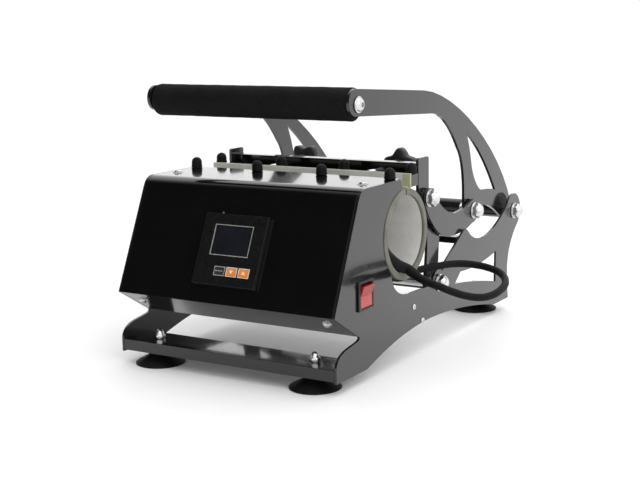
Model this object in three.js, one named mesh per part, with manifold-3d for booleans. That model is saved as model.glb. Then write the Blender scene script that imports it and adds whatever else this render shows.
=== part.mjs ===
// Tumbler and mug heat press: a sheet-metal cradle with a control box in front, a clamp-shell heater across
// it, and a long over-centre handle that pulls the rear half of the heater shut.
// Millimetres, +Z up. X runs across the press, +Y points to the rear.
// While modelling, Y = 0 is at the centres of the front feet and Z = 0 is the table.
// The press group is then set back so that the middle of the press is at Y = 0.
import * as THREE from "three";
import { mergeVertices } from "three/addons/utils/BufferGeometryUtils.js";
import Module from "manifold-3d";

const wasm = await Module();
wasm.setup();

// ---------------------------------------------------------------- driving dimensions
const FRAME_HALF = 125; // outer face of a side plate
const SIDE_T = 2.5; // side plate thickness
const PLATE_T = 3; // arms, links and swing plates
const GAP = 0.3; // space kept between touching pieces
const SHEET_T = 1.5; // folded covers
const ARM_OUT = 116; // outer face of the arms and of the swing plates
const LINK_OUT = 121; // outer face of the links
const FOOT_X = 91;
const FOOT_REAR_Y = 353.7;
const CUP_R = 25;
const SADDLE_R = 45.9; // edge of the side plates round the heater
const PLATE_CURVE_STEPS = 12; // straight edges in each curve of a plate's outline
const LEG_BOTTOM = 12;
const BAR_TOP = 24.5; // top face of the foot bars

const HEATER = { y: 117.5, z: 128.2, inner: 38.5, outer: 45, half: 126 };
const PIVOT_REAR = { y: 386, z: 113 }; // handle arms on the side plates
const PIVOT_LINK = { y: 285, z: 127.5 }; // arm to link
const PIVOT_SWING = { y: 177, z: 155.5 }; // link to swing plate, the pivot where the linkage is opened
const PIVOT_LOW = { y: 190, z: 66 }; // swing plate on the side plates
const GRIP = { y: 42.4, z: 259.6, r: 15.75, core: 8 };

const BOX_NOSE = { y: -20.2, z: 73.1 }; // bottom front corner of the control box
const BOX_BROW = { y: 30.4, z: 183.5 }; // top front corner, before rounding
const BOX_BROW_R = 10;
const BOX_LIP = { y: 23.5, z: 46.8 }; // rear end of the bottom lip
const BOX_TOP_REAR = 112;
const BAFFLE_Y = 54;

const BOLT_R = 5;
const HOLE_R = 5.4;
const CAP_X = [-115.6, -38.5, 38.5, 115.6];
const CLAMP_BAR = { half: 119.5, y0: 141, y1: 155, z0: 171.5, z1: 183.5 };
const CROSS_BAR = { y0: 172, y1: 184, z0: 171, z1: 191 };
const KNOB = { x: 60, z: 179, y: 226, r: 20, lobes: 5, thick: 12, stud: 4 };
const LEAD_R = 3.7;
const PRESS_CENTRE_Y = 190.5; // middle of the press from front feet to rear ears

// ---------------------------------------------------------------- colours
const paint = (color, roughness, metalness) => new THREE.MeshStandardMaterial({ color, roughness, metalness });
const BLACK_PAINT = () => paint(0x0d0e10, 0.22, 0.1);
const GREY_PAINT = () => paint(0x2b2c2e, 0.25, 0.2);
const CHROME = () => paint(0xc9ccd0, 0.2, 1);
const RUBBER = () => paint(0x161616, 0.8, 0);
const FOAM = () => paint(0x1b1b1c, 0.9, 0);
const SILICONE = () => paint(0x5f5f58, 0.6, 0);
const PLASTIC = () => paint(0x101113, 0.45, 0);

// ---------------------------------------------------------------- helpers
const press = new THREE.Group();
press.position.y = -PRESS_CENTRE_Y;
const TURN = Math.PI * 2;
const deg = (d) => (d * Math.PI) / 180;

function add(name, geometry, material) {
  const mesh = new THREE.Mesh(geometry, material);
  mesh.name = name;
  press.add(mesh);
  return mesh;
}

// An outline drawn as (Y, Z), made into a slab from X = x0 to X = x1.
const SIDEWAYS = new THREE.Matrix4().makeBasis(
  new THREE.Vector3(0, 1, 0),
  new THREE.Vector3(0, 0, 1),
  new THREE.Vector3(1, 0, 0),
);
function slab(shape, x0, x1, curveSegments = 6) {
  const drawn = shape.extractPoints(curveSegments);
  const wound = (points, clockwise) => (THREE.ShapeUtils.isClockWise(points) === clockwise ? points : points.reverse());
  const outline = new THREE.Shape(wound(drawn.shape, false));
  outline.holes = drawn.holes.map((hole) => new THREE.Path(wound(hole, true)));
  const g = new THREE.ExtrudeGeometry(outline, { depth: x1 - x0, bevelEnabled: false });
  return g.applyMatrix4(SIDEWAYS).translate(x0, 0, 0);
}

function block(x0, x1, y0, y1, z0, z1) {
  const g = new THREE.BoxGeometry(x1 - x0, y1 - y0, z1 - z0);
  return g.translate((x0 + x1) / 2, (y0 + y1) / 2, (z0 + z1) / 2);
}

// A turned piece: profile points are [distance along the axis, radius] and close on the axis or on themselves.
function turned(profile, axis, at, sides = 12) {
  const points = profile.map(([along, r]) => new THREE.Vector2(r, along));
  if (THREE.ShapeUtils.area(points) < 0) points.reverse();
  const g = new THREE.LatheGeometry(points, sides);
  if (axis === "x") g.rotateZ(-Math.PI / 2);
  if (axis === "z") g.rotateX(Math.PI / 2);
  return g.translate(...at);
}

// Round bar along Y or Z, for screws and for cutting holes.
function rod(axis, r, from, to, at, sides = 12) {
  const g = new THREE.CylinderGeometry(r, r, to - from, sides).translate(0, (from + to) / 2, 0);
  if (axis === "z") g.rotateX(Math.PI / 2);
  return g.translate(...at);
}

function solid(geometry) {
  const g = geometry.clone();
  g.deleteAttribute("normal");
  g.deleteAttribute("uv");
  const merged = mergeVertices(g, 1e-4);
  const mesh = new wasm.Mesh({
    numProp: 3,
    vertProperties: merged.attributes.position.array,
    triVerts: new Uint32Array(merged.index.array),
  });
  return new wasm.Manifold(mesh);
}

function geometryOf(manifold) {
  const mesh = manifold.getMesh();
  const g = new THREE.BufferGeometry();
  g.setAttribute("position", new THREE.BufferAttribute(mesh.vertProperties, 3));
  g.setIndex(new THREE.BufferAttribute(mesh.triVerts, 1));
  return g;
}

const cut = (body, ...tools) => geometryOf(tools.reduce((left, tool) => left.subtract(solid(tool)), solid(body)));
const join = (...pieces) => geometryOf(pieces.map(solid).reduce((all, piece) => all.add(piece)));

function circleHole(shape, at, r) {
  const hole = new THREE.Path();
  hole.absarc(at.y, at.z, r, 0, TURN, true);
  shape.holes.push(hole);
}

function rectHole(shape, y0, y1, z0, z1) {
  const hole = new THREE.Path();
  hole.moveTo(y0, z0);
  hole.lineTo(y0, z1);
  hole.lineTo(y1, z1);
  hole.lineTo(y1, z0);
  hole.closePath();
  shape.holes.push(hole);
}

// Makes a piece on the right and its mirror image on the left. make(x0, x1) takes the inner and outer face.
function pair(name, make, inner, outer, material) {
  add("right_" + name, make(inner, outer), material());
  add("left_" + name, make(-outer, -inner), material());
}

// ---------------------------------------------------------------- sheets
// The points of an open outline, moved `depth` to its right.
function shifted(points, depth) {
  return points.map((p, i) => {
    const before = points[Math.max(i - 1, 0)];
    const after = points[Math.min(i + 1, points.length - 1)];
    const a = (i === 0 ? after.clone().sub(p) : p.clone().sub(before)).normalize();
    const b = (i === points.length - 1 ? a : after.clone().sub(p)).clone().normalize();
    const right = new THREE.Vector2(a.y + b.y, -a.x - b.x).normalize();
    return p.clone().addScaledVector(right, depth / (right.x * a.y - right.y * a.x));
  });
}

// A folded sheet whose outer skin is the outline; its other skin is SHEET_T to the right.
const sheetAlong = (points) => new THREE.Shape([...points, ...shifted(points, SHEET_T).reverse()]);

// Outer skin of the box cover, from the rear end of the bottom lip, up the front panel and over the top.
const panelRise = new THREE.Vector2(BOX_BROW.y - BOX_NOSE.y, BOX_BROW.z - BOX_NOSE.z).normalize();
const coverPath = new THREE.Path();
coverPath.moveTo(BOX_LIP.y, BOX_LIP.z);
coverPath.lineTo(BOX_NOSE.y, BOX_NOSE.z);
coverPath.lineTo(BOX_BROW.y - panelRise.x * BOX_BROW_R, BOX_BROW.z - panelRise.y * BOX_BROW_R);
coverPath.quadraticCurveTo(BOX_BROW.y, BOX_BROW.z, BOX_BROW.y + BOX_BROW_R, BOX_BROW.z);
coverPath.lineTo(BOX_TOP_REAR, BOX_BROW.z);
const coverSkin = coverPath.getPoints(5);

// ---------------------------------------------------------------- side plates
const SWITCH = { y: 35, z: 84.5, w: 28, h: 28 };
const SWITCH_HOLE = { w: 24, h: 25 };

function sidePlateShape() {
  const s = new THREE.Shape();
  // leg and foot edge
  s.moveTo(-18, LEG_BOTTOM);
  s.lineTo(38, LEG_BOTTOM);
  s.quadraticCurveTo(104, 32, 170, 32.5);
  s.quadraticCurveTo(245, 32, 332, LEG_BOTTOM + 1);
  s.lineTo(372, LEG_BOTTOM + 1);
  s.lineTo(369, 34);
  s.lineTo(369, 50);
  s.quadraticCurveTo(371, 78, 401, 99);
  // rear ear round the handle pivot
  s.absarc(PIVOT_REAR.y, PIVOT_REAR.z, 20, deg(-42), deg(152), false);
  // U-notch for the link to swing down into
  s.quadraticCurveTo(335, 98, 302, 95.5);
  s.quadraticCurveTo(276, 95.5, 264, 107);
  s.quadraticCurveTo(256, 115, 249, 109.5);
  s.lineTo(229, 98);
  s.lineTo(208, 86);
  // lobe round the lower swing pivot
  s.quadraticCurveTo(203, 82, 199.5, 77);
  s.absarc(PIVOT_LOW.y, PIVOT_LOW.z, 14, deg(48), deg(160), false);
  s.quadraticCurveTo(174, 66.5, 166, 66.5);
  // trough under the heater, then the edge that runs round the heater's front
  s.lineTo(132, 67.5);
  s.quadraticCurveTo(104, 67, 93, 80);
  s.quadraticCurveTo(89, 85, HEATER.y - SADDLE_R * Math.cos(deg(47)), HEATER.z - SADDLE_R * Math.sin(deg(47)));
  s.absarc(HEATER.y, HEATER.z, SADDLE_R, deg(-133), deg(-262), true);
  // rounded top corner, then level with the box cover from its top to its lip
  s.lineTo(BOX_TOP_REAR - 2, BOX_BROW.z - 5);
  s.quadraticCurveTo(BOX_TOP_REAR - 2, BOX_BROW.z, BOX_TOP_REAR - 8, BOX_BROW.z);
  for (const p of [...coverSkin].reverse().slice(1)) s.lineTo(p.x, p.y);
  // neck and front leg
  s.quadraticCurveTo(27, 44, 19.5, 42.7);
  s.lineTo(4, 40.5);
  s.quadraticCurveTo(-16, 38, -18, 26);
  s.closePath();
  circleHole(s, PIVOT_REAR, HOLE_R);
  circleHole(s, PIVOT_LOW, HOLE_R);
  return s;
}

// Rounded triangular window under the U-notch.
function plateWindow() {
  const hole = new THREE.Path();
  hole.moveTo(229, 57);
  hole.lineTo(243, 67.5);
  hole.quadraticCurveTo(290, 64, 337, 74);
  hole.lineTo(336, 39);
  hole.quadraticCurveTo(278, 52, 229, 57);
  return hole;
}

for (const side of ["right", "left"]) {
  const shape = sidePlateShape();
  shape.holes.push(plateWindow());
  rectHole(
    shape,
    SWITCH.y - SWITCH_HOLE.w / 2,
    SWITCH.y + SWITCH_HOLE.w / 2,
    SWITCH.z - SWITCH_HOLE.h / 2,
    SWITCH.z + SWITCH_HOLE.h / 2,
  );
  const outer = side === "right" ? FRAME_HALF : -FRAME_HALF + SIDE_T;
  add(side + "_side_plate", slab(shape, outer - SIDE_T, outer, PLATE_CURVE_STEPS), BLACK_PAINT());
}

// ---------------------------------------------------------------- cross members and feet
const INSIDE = FRAME_HALF - SIDE_T - GAP; // half-length of what fits between the side plates

const STUD_R = 3.2; // of the feet
// L-angle between the legs: `toe` is the Y of its upright flange, the top flange runs from there to `heel`.
function angleBar(toe, heel) {
  const sign = Math.sign(heel - toe);
  const s = new THREE.Shape();
  s.moveTo(toe, LEG_BOTTOM + 1.5);
  s.lineTo(toe + sign * 2.5, LEG_BOTTOM + 1.5);
  s.lineTo(toe + sign * 2.5, BAR_TOP - 2.5);
  s.lineTo(heel, BAR_TOP - 2.5);
  s.lineTo(heel, BAR_TOP);
  s.lineTo(toe, BAR_TOP);
  s.closePath();
  const stud = (x, y) => rod("z", STUD_R + 0.5, LEG_BOTTOM, BAR_TOP + 5, [x, y, 0], 10);
  const footY = toe + sign * 18;
  return cut(slab(s, -INSIDE, INSIDE), stud(FOOT_X, footY), stud(-FOOT_X, footY));
}
add("front_foot_bar", angleBar(-18, 21), BLACK_PAINT());
add("rear_foot_bar", angleBar(FOOT_REAR_Y + 18, FOOT_REAR_Y - 21), BLACK_PAINT());
add("mid_cross_bar", block(-INSIDE, INSIDE, 238, 250, 98.5, 105.5), BLACK_PAINT());

// Suction-cup foot on a stud that passes up through the foot bar.
const FOOT_PROFILE = [
  [0, 0],
  [0, CUP_R],
  [2, CUP_R],
  [7, 15],
  [11, 10],
  [BAR_TOP - 2.5 - GAP, 9],
  [BAR_TOP - 2.5 - GAP, STUD_R],
  [BAR_TOP + 4, STUD_R],
  [BAR_TOP + 4, 0],
];
const CORNERS = [
  ["front_left", -FOOT_X, 0],
  ["front_right", FOOT_X, 0],
  ["rear_left", -FOOT_X, FOOT_REAR_Y],
  ["rear_right", FOOT_X, FOOT_REAR_Y],
];
for (const [corner, x, y] of CORNERS) add(corner + "_foot", turned(FOOT_PROFILE, "z", [x, y, 0], 16), RUBBER());

const ACORN_PROFILE = [
  [BAR_TOP + GAP, STUD_R + 0.7],
  [BAR_TOP + GAP, 5.6],
  [BAR_TOP + 6, 5.6],
  [BAR_TOP + 9, 3.6],
  [BAR_TOP + 10, 0],
  [BAR_TOP + 4.4, 0],
  [BAR_TOP + 4.4, STUD_R + 0.7],
  [BAR_TOP + GAP, STUD_R + 0.7],
];
for (const [corner, x, y] of CORNERS.slice(0, 2)) {
  add(corner + "_foot_nut", turned(ACORN_PROFILE, "z", [x, y, 0], 8), CHROME());
}

// ---------------------------------------------------------------- control box
// The front panel's own frame: X across, Z up along the panel from the nose, -Y out of the panel.
const panel = new THREE.Group();
panel.position.set(0, BOX_NOSE.y, BOX_NOSE.z);
panel.rotation.x = -Math.atan2(panelRise.x, panelRise.y);
panel.updateMatrix();
press.add(panel);

function addToPanel(name, geometry, material) {
  const mesh = add(name, geometry, material);
  panel.add(mesh);
}

const BEZEL = { x0: -36, x1: 36, z0: 17.5, z1: 87.5, front: -5, back: -GAP };
const DISPLAY = { x0: -21.4, x1: 21.2, z0: 47, z1: 76 };
const CASE = { x0: -31, x1: 31, z0: 21, z1: 84, depth: 30 };
const BUTTON = { w: 10.2, h: 7, z: 31.2, xs: [-6.6, 7.4, 21.4], front: -5.8, back: -2 };
const BUTTON_NAMES = ["set_button", "left_button", "right_button"];

const caseHole = block(CASE.x0 - GAP, CASE.x1 + GAP, -3, 6, CASE.z0 - GAP, CASE.z1 + GAP).applyMatrix4(panel.matrix);
add("box_cover", cut(slab(sheetAlong(coverSkin), -INSIDE, INSIDE), caseHole), BLACK_PAINT());

const baffleSkin = [
  new THREE.Vector2(BAFFLE_Y + SHEET_T, BOX_BROW.z - SHEET_T - GAP),
  new THREE.Vector2(BAFFLE_Y + SHEET_T, 47.5),
  new THREE.Vector2(BOX_LIP.y + 3, 47.5),
];
const GLAND = { x: 85, y: BAFFLE_Y + SHEET_T, z: 70, r: 7 };
add(
  "box_rear_baffle",
  cut(slab(sheetAlong(baffleSkin), -INSIDE, INSIDE), rod("y", 5, -5, 5, [GLAND.x, GLAND.y, GLAND.z], 8)),
  GREY_PAINT(),
);

// Temperature controller: bezel with a window and three buttons, on a case that fills the panel's cut-out.
const bezelTools = [block(DISPLAY.x0, DISPLAY.x1, BEZEL.front - 1, BEZEL.front + 1.5, DISPLAY.z0, DISPLAY.z1)];
for (const x of BUTTON.xs) {
  const [w, h] = [BUTTON.w / 2 + GAP, BUTTON.h / 2 + GAP];
  bezelTools.push(block(x - w, x + w, BEZEL.front - 1, BEZEL.back + 1, BUTTON.z - h, BUTTON.z + h));
}
const bezelBlock = block(BEZEL.x0, BEZEL.x1, BEZEL.front, BEZEL.back, BEZEL.z0, BEZEL.z1);
addToPanel("controller_bezel", cut(bezelBlock, ...bezelTools), PLASTIC());
addToPanel(
  "controller_display",
  block(
    DISPLAY.x0 + GAP,
    DISPLAY.x1 - GAP,
    BEZEL.front + 0.2,
    BEZEL.front + 1.5 - GAP,
    DISPLAY.z0 + GAP,
    DISPLAY.z1 - GAP,
  ),
  paint(0x14161b, 0.1, 0),
);
addToPanel("controller_case", block(CASE.x0, CASE.x1, 0.2, CASE.depth, CASE.z0, CASE.z1), PLASTIC());
BUTTON.xs.forEach((x, i) => {
  const [w, h] = [BUTTON.w / 2, BUTTON.h / 2];
  const button = block(x - w, x + w, BUTTON.front, BUTTON.back, BUTTON.z - h, BUTTON.z + h);
  addToPanel(BUTTON_NAMES[i], button, paint(i ? 0xe07b1c : 0x202225, 0.4, 0));
});

// Power board on the baffle's front, with its transformer and relay.
const BOARD = { y: BAFFLE_Y - GAP, t: 1.6, x0: 45, x1: 110, z0: 80, z1: 165 };
add(
  "control_board",
  join(
    block(BOARD.x0, BOARD.x1, BOARD.y - BOARD.t, BOARD.y, BOARD.z0, BOARD.z1),
    block(52, 76, BOARD.y - 18, BOARD.y - BOARD.t + 0.1, 90, 118),
    block(84, 102, BOARD.y - 14, BOARD.y - BOARD.t + 0.1, 92, 112),
    block(56, 68, BOARD.y - 12, BOARD.y - BOARD.t + 0.1, 132, 150),
  ),
  paint(0x1f5c38, 0.5, 0),
);

// Rocker switch in the right side plate. The paddle rocks about a level axis along Y.
const ROCKER = { x: 124.4, half: 10.6, w: 21, tilt: deg(9) };
const bezelOuter = FRAME_HALF + 2.2;
const inSwitch = (dx0, dx1, w, h) =>
  block(dx0, dx1, SWITCH.y - w / 2, SWITCH.y + w / 2, SWITCH.z - h / 2, SWITCH.z + h / 2);
const switchBody = join(
  inSwitch(FRAME_HALF + GAP, bezelOuter, SWITCH.w, SWITCH.h),
  inSwitch(104, FRAME_HALF + 1, SWITCH_HOLE.w - 2 * GAP, SWITCH_HOLE.h - 2 * GAP),
);
const pocket = inSwitch(116, bezelOuter + 1, ROCKER.w + 0.6, 2 * ROCKER.half + 2.2);
add("switch_housing", cut(switchBody, pocket), PLASTIC());

const paddleShape = new THREE.Shape();
paddleShape.moveTo(-3, -ROCKER.half + 1.5);
paddleShape.lineTo(-3, ROCKER.half - 1.5);
paddleShape.lineTo(4.4, ROCKER.half);
paddleShape.lineTo(2.6, 0);
paddleShape.lineTo(4.4, -ROCKER.half);
paddleShape.closePath();
const paddle = new THREE.ExtrudeGeometry(paddleShape, { depth: ROCKER.w, bevelEnabled: false });
paddle.rotateX(Math.PI / 2).rotateY(ROCKER.tilt);
paddle.translate(ROCKER.x, SWITCH.y + ROCKER.w / 2, SWITCH.z);
add("switch_rocker", paddle, paint(0xb3262b, 0.35, 0));

// Mains inlet in the left side plate, at the same height.
const inletBody = join(
  block(-FRAME_HALF - 3, -FRAME_HALF - GAP, SWITCH.y - 15, SWITCH.y + 15, SWITCH.z - 14, SWITCH.z + 14),
  block(
    -FRAME_HALF - 1,
    -FRAME_HALF + 22,
    SWITCH.y - SWITCH_HOLE.w / 2 + GAP,
    SWITCH.y + SWITCH_HOLE.w / 2 - GAP,
    SWITCH.z - SWITCH_HOLE.h / 2 + GAP,
    SWITCH.z + SWITCH_HOLE.h / 2 - GAP,
  ),
);
const inletWell = block(-FRAME_HALF - 4, -FRAME_HALF + 15, SWITCH.y - 10, SWITCH.y + 10, SWITCH.z - 7, SWITCH.z + 7);
add("power_inlet", cut(inletBody, inletWell), PLASTIC());

// ---------------------------------------------------------------- heater
// A band of the heater's mat between two angles about its axis; 0 degrees points to the rear, 90 up.
function heaterShape(from, to, inner = HEATER.inner, outer = HEATER.outer) {
  const s = new THREE.Shape();
  s.absarc(HEATER.y, HEATER.z, outer, deg(from), deg(to), false);
  s.absarc(HEATER.y, HEATER.z, inner, deg(to), deg(from), true);
  s.closePath();
  return s;
}
const HEATER_SPLIT = { top: 90, bottom: -28 };
add(
  "heater_front",
  slab(heaterShape(HEATER_SPLIT.top + 2, 358 + HEATER_SPLIT.bottom), -HEATER.half, HEATER.half, 14),
  SILICONE(),
);
add(
  "heater_rear",
  slab(heaterShape(HEATER_SPLIT.bottom, HEATER_SPLIT.top - 1), -HEATER.half, HEATER.half, 8),
  SILICONE(),
);

const STRIP = { y0: 94, y1: 109, z0: 177.6, z1: BOX_BROW.z - SHEET_T - GAP };
add("front_clamp_strip", block(-INSIDE, INSIDE, STRIP.y0, STRIP.y1, STRIP.z0, STRIP.z1), GREY_PAINT());
const rearBar = [CLAMP_BAR.y0, CLAMP_BAR.y1, CLAMP_BAR.z0, CLAMP_BAR.z1];
add("rear_clamp_bar", block(-CLAMP_BAR.half, CLAMP_BAR.half, ...rearBar), BLACK_PAINT());

// Domed rubber caps over the clamp screws.
const CAP_PROFILE = [
  [0, 0],
  [0, 5.8],
  [6.5, 5.8],
  [9.6, 4],
  [11, 0],
];
const capRow = (name, y, z) =>
  CAP_X.forEach((x, i) => add(name + "_" + (i + 1), turned(CAP_PROFILE, "z", [x, y, z], 10), RUBBER()));
capRow("front_clamp_cap", 103.3, BOX_BROW.z + GAP);
capRow("rear_clamp_cap", 148, CLAMP_BAR.z1 + GAP);

// Heater lead: from its boot on the heater's inner wall it droops out over the right-hand side, comes back
// in over the side plate's lobe and runs under the heater to its gland in the box.
const BOOT = { from: 208, to: 262, inner: HEATER.inner - 13, outer: HEATER.inner - GAP, x0: 112, x1: 127.3 };
add(
  "heater_boot",
  slab(heaterShape(BOOT.from, BOOT.to, BOOT.inner, BOOT.outer), BOOT.x0, BOOT.x1, 3),
  RUBBER(),
);
const LEAD_ROUTE = [
  [129.5, 111.5, 95.5],
  [136, 111, 92],
  [143, 109.5, 88.5],
  [153, 107, 85.5],
  [166.5, 106.5, 82.5],
  [179.5, 109, 78],
  [191, 115, 74],
  [200.5, 124.5, 71.5],
  [207, 137.5, 71.5],
  [209.5, 152, 73.5],
  [208, 167, 75.5],
  [203, 181, 77],
  [195.5, 194.5, 78],
  [185, 205, 80],
  [171.5, 210.5, 82],
  [158, 211, 83.5],
  [145, 207, 84.5],
  [133.5, 198, 84.5],
  [125.5, 186, 84],
  [115, 171.5, 82.5],
  [104, 152, 79.5],
  [95, 128, 76.5],
  [89, 103, 74],
  [86, 82, 71.5],
  [85, 67, 70],
];
const LEAD_STEPS = 56;
const leadCurve = new THREE.CatmullRomCurve3(LEAD_ROUTE.map((p) => new THREE.Vector3(...p)));
const leadSection = new THREE.Shape().absarc(0, 0, LEAD_R, 0, TURN, false);
add(
  "heater_lead",
  new THREE.ExtrudeGeometry(leadSection, { steps: LEAD_STEPS, curveSegments: 4, extrudePath: leadCurve }),
  RUBBER(),
);
const GLAND_PROFILE = [
  [GAP, LEAD_R + 0.4],
  [GAP, GLAND.r + 2],
  [4, GLAND.r + 2],
  [4, GLAND.r],
  [11, 5],
  [11, 0],
  [7, 0],
  [7, LEAD_R + 0.4],
  [GAP, LEAD_R + 0.4],
];
add("lead_gland", turned(GLAND_PROFILE, "y", [GLAND.x, GLAND.y, GLAND.z], 10), PLASTIC());

// ---------------------------------------------------------------- handle
const ARM_END_R = 12.6;
function armShape() {
  const s = new THREE.Shape();
  const end = { y: 38.5, z: 261.6 };
  // grip end, top edge to the rear, then down to the rear pivot
  s.absarc(end.y, end.z, ARM_END_R, deg(-93), deg(84), true);
  s.lineTo(176, 264.3);
  s.bezierCurveTo(250, 258, 365, 190, 399, 120);
  s.absarc(PIVOT_REAR.y, PIVOT_REAR.z, 15, deg(30), deg(-150), true);
  // arch between the two pivots
  s.quadraticCurveTo(352, 121, 330, 127);
  s.quadraticCurveTo(312, 130, 302, 120);
  s.absarc(PIVOT_LINK.y, PIVOT_LINK.z, 15, deg(-30), deg(-168), true);
  // inner edge back up to the grip
  s.quadraticCurveTo(275, 180, 256, 198);
  s.bezierCurveTo(238, 222, 218, 237, 196, 239.6);
  s.closePath();
  circleHole(s, PIVOT_REAR, HOLE_R);
  circleHole(s, PIVOT_LINK, HOLE_R);
  circleHole(s, GRIP, HOLE_R - 1);
  const window = new THREE.Path();
  window.moveTo(276, 214);
  window.quadraticCurveTo(322, 186, 354, 141);
  window.quadraticCurveTo(340, 145, 314, 146);
  window.quadraticCurveTo(297, 155, 290, 176);
  window.quadraticCurveTo(285, 198, 276, 214);
  s.holes.push(window);
  return s;
}
const ARM_IN = ARM_OUT - PLATE_T;
pair("handle_arm", (a, b) => slab(armShape(), a, b, PLATE_CURVE_STEPS), ARM_IN, ARM_OUT, GREY_PAINT);

// Foam sleeve on a steel tube between the arms, with a bolt through each arm into the tube.
const gripAt = [0, GRIP.y, GRIP.z];
const sleeve = (inner, outer, half) => [
  [-half, inner],
  [-half, outer],
  [half, outer],
  [half, inner],
  [-half, inner],
];
const BETWEEN_ARMS = ARM_IN - GAP;
add("grip_foam", turned(sleeve(GRIP.core + GAP, GRIP.r, BETWEEN_ARMS - 0.5), "x", gripAt, 20), FOAM());
add("grip_tube", turned(sleeve(5, GRIP.core, BETWEEN_ARMS), "x", gripAt, 12), CHROME());

// A bolt along X with its head outside (sign +1 on the right, -1 on the left).
function bolt(sign, profile, at, sides = 10) {
  return turned(
    profile.map(([x, r]) => [sign * x, r]),
    "x",
    [0, at.y, at.z],
    sides,
  );
}
for (const [side, sign] of [["right", 1], ["left", -1]]) {
  const gripBolt = [
    [88, 0],
    [88, 4],
    [ARM_OUT + GAP, 4],
    [ARM_OUT + GAP, 8],
    [ARM_OUT + 1.8, 8],
    [ARM_OUT + 1.8, 6.4],
    [ARM_OUT + 5, 5],
    [ARM_OUT + 5, 0],
  ];
  add(side + "_grip_bolt", bolt(sign, gripBolt, GRIP), CHROME());
}

// A shaft right across the press, with a washer and an acorn nut outside each side plate.
function throughShaft() {
  const face = FRAME_HALF + GAP;
  const half = [
    [0, BOLT_R],
    [face, BOLT_R],
    [face, 10],
    [face + 1.6, 10],
    [face + 1.6, 8.4],
    [face + 7.5, 8.4],
    [face + 10.5, 5],
    [face + 10.5, 0],
  ];
  const mirrored = half.slice(1).map(([x, r]) => [-x, r]).reverse();
  return [...mirrored, ...half.slice(1)];
}
add("handle_pivot_shaft", turned(throughShaft(), "x", [0, PIVOT_REAR.y, PIVOT_REAR.z], 12), CHROME());
add("swing_pivot_shaft", turned(throughShaft(), "x", [0, PIVOT_LOW.y, PIVOT_LOW.z], 12), CHROME());
add(
  "handle_spacer_tube",
  turned(sleeve(BOLT_R + 0.6, 9.3, BETWEEN_ARMS), "x", [0, PIVOT_REAR.y, PIVOT_REAR.z], 14),
  GREY_PAINT(),
);

// ---------------------------------------------------------------- links
const LINK_END_R = 10.4; // keeps clear of the heater while the handle is lifted
function linkShape() {
  const s = new THREE.Shape();
  s.absarc(PIVOT_SWING.y, PIVOT_SWING.z, LINK_END_R, deg(70), deg(215), false);
  s.bezierCurveTo(180, 128, 203, 108.5, 226, 108.3);
  s.quadraticCurveTo(262, 106.5, 278, 113.5);
  s.lineTo(287, 115);
  s.absarc(PIVOT_LINK.y, PIVOT_LINK.z, 12.5, deg(-80), deg(110), false);
  s.quadraticCurveTo(262, 132.5, 238, 131.5);
  s.quadraticCurveTo(205, 135, 187, 164.5);
  s.closePath();
  circleHole(s, PIVOT_SWING, HOLE_R);
  circleHole(s, PIVOT_LINK, HOLE_R);
  return s;
}
const LINK_IN = LINK_OUT - PLATE_T;
pair("link", (a, b) => slab(linkShape(), a, b, PLATE_CURVE_STEPS), LINK_IN, LINK_OUT, GREY_PAINT);

const NUT_R = 8.6;
const nutOutside = [
  [LINK_OUT + GAP, NUT_R + 1.2],
  [LINK_OUT + 1.6, NUT_R + 1.2],
  [LINK_OUT + 1.6, NUT_R],
  [LINK_OUT + 8, NUT_R],
  [LINK_OUT + 11, 5],
  [LINK_OUT + 11, 0],
];
for (const [side, sign] of [["right", 1], ["left", -1]]) {
  // arm and link turn on one bolt, with a washer between them
  const linkBolt = [
    [ARM_IN - 6, 0],
    [ARM_IN - 6, NUT_R],
    [ARM_IN - GAP, NUT_R],
    [ARM_IN - GAP, BOLT_R],
    [ARM_OUT + GAP, BOLT_R],
    [ARM_OUT + GAP, 9],
    [LINK_IN - GAP, 9],
    [LINK_IN - GAP, BOLT_R],
    [LINK_OUT + GAP, BOLT_R],
    ...nutOutside,
  ];
  add(side + "_link_bolt", bolt(sign, linkBolt, PIVOT_LINK, 12), CHROME());
  // the opened pivot: one half of the pin stays with the link, the other with the swing plate
  const linkPin = [
    [LINK_IN - 0.7, 0],
    [LINK_IN - 0.7, 9],
    [LINK_IN - GAP, 9],
    [LINK_IN - GAP, BOLT_R],
    [LINK_OUT + GAP, BOLT_R],
    ...nutOutside,
  ];
  add(side + "_link_pin", bolt(sign, linkPin, PIVOT_SWING, 12), CHROME());
  const swingPin = [
    [ARM_IN - 6, 0],
    [ARM_IN - 6, NUT_R],
    [ARM_IN - GAP, NUT_R],
    [ARM_IN - GAP, BOLT_R],
    [ARM_OUT + GAP, BOLT_R],
    [ARM_OUT + GAP, 9],
    [ARM_OUT + 1, 9],
    [ARM_OUT + 1, 0],
  ];
  add(side + "_swing_pin", bolt(sign, swingPin, PIVOT_SWING, 12), CHROME());
}

// ---------------------------------------------------------------- swing plates and the bar they carry
function swingShape() {
  const s = new THREE.Shape();
  s.absarc(PIVOT_LOW.y, PIVOT_LOW.z, 13, deg(15), deg(172), true);
  s.lineTo(180, 84);
  s.quadraticCurveTo(185, 112, 179, 132);
  s.quadraticCurveTo(174, 142, 166, 146);
  s.lineTo(163, 152);
  s.lineTo(163, 195.5);
  s.lineTo(165, 197.3);
  s.lineTo(184, 197.3);
  s.lineTo(186, 195.5);
  s.lineTo(186, 165);
  s.quadraticCurveTo(207, 140, 210, 111);
  s.lineTo(207.5, 84);
  s.closePath();
  circleHole(s, PIVOT_LOW, HOLE_R);
  circleHole(s, PIVOT_SWING, HOLE_R);
  return s;
}
pair("swing_plate", (a, b) => slab(swingShape(), a, b, PLATE_CURVE_STEPS), ARM_IN, ARM_OUT, GREY_PAINT);

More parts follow.
